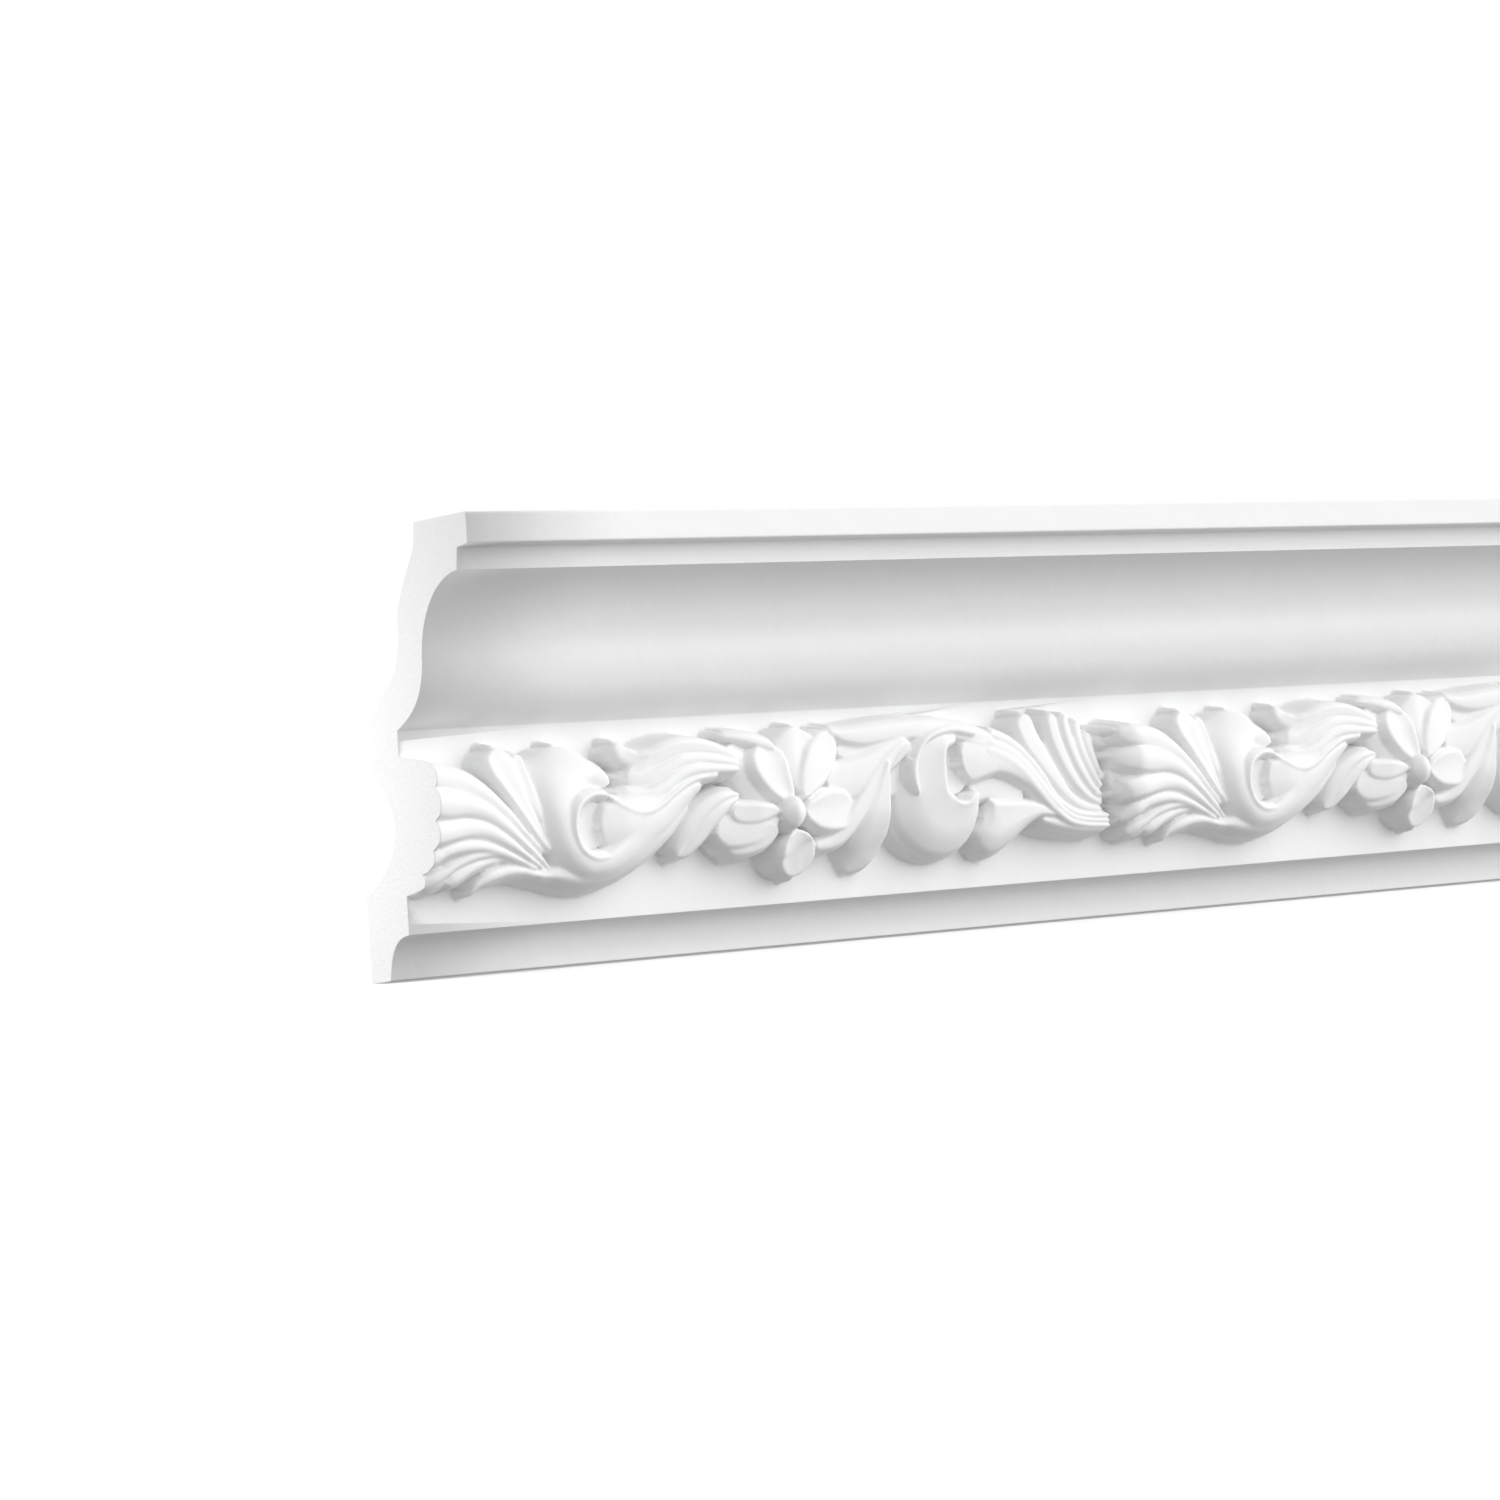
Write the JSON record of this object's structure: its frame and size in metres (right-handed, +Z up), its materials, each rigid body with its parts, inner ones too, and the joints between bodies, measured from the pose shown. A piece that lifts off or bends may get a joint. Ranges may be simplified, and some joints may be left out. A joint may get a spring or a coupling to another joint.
{
  "type": "cornice moulding",
  "caption": "Length of cornice moulding with a cyma top, a frieze of acanthus leaves, scrolls and flowers, and a relieved back, for the corner of wall and ceiling.",
  "frame": {"origin": "middle of the flat strip that lies on the wall, half way along the length", "axes": "+X along the moulding, +Y into the wall, +Z up towards the ceiling"},
  "size_m": [0.404, 0.0536, 0.0999],
  "materials": {
    "white_cast": "matte white primed casting"
  },
  "bodies": {
    "root": {"cornice_moulding": "white_cast"}
  },
  "joints": []
}
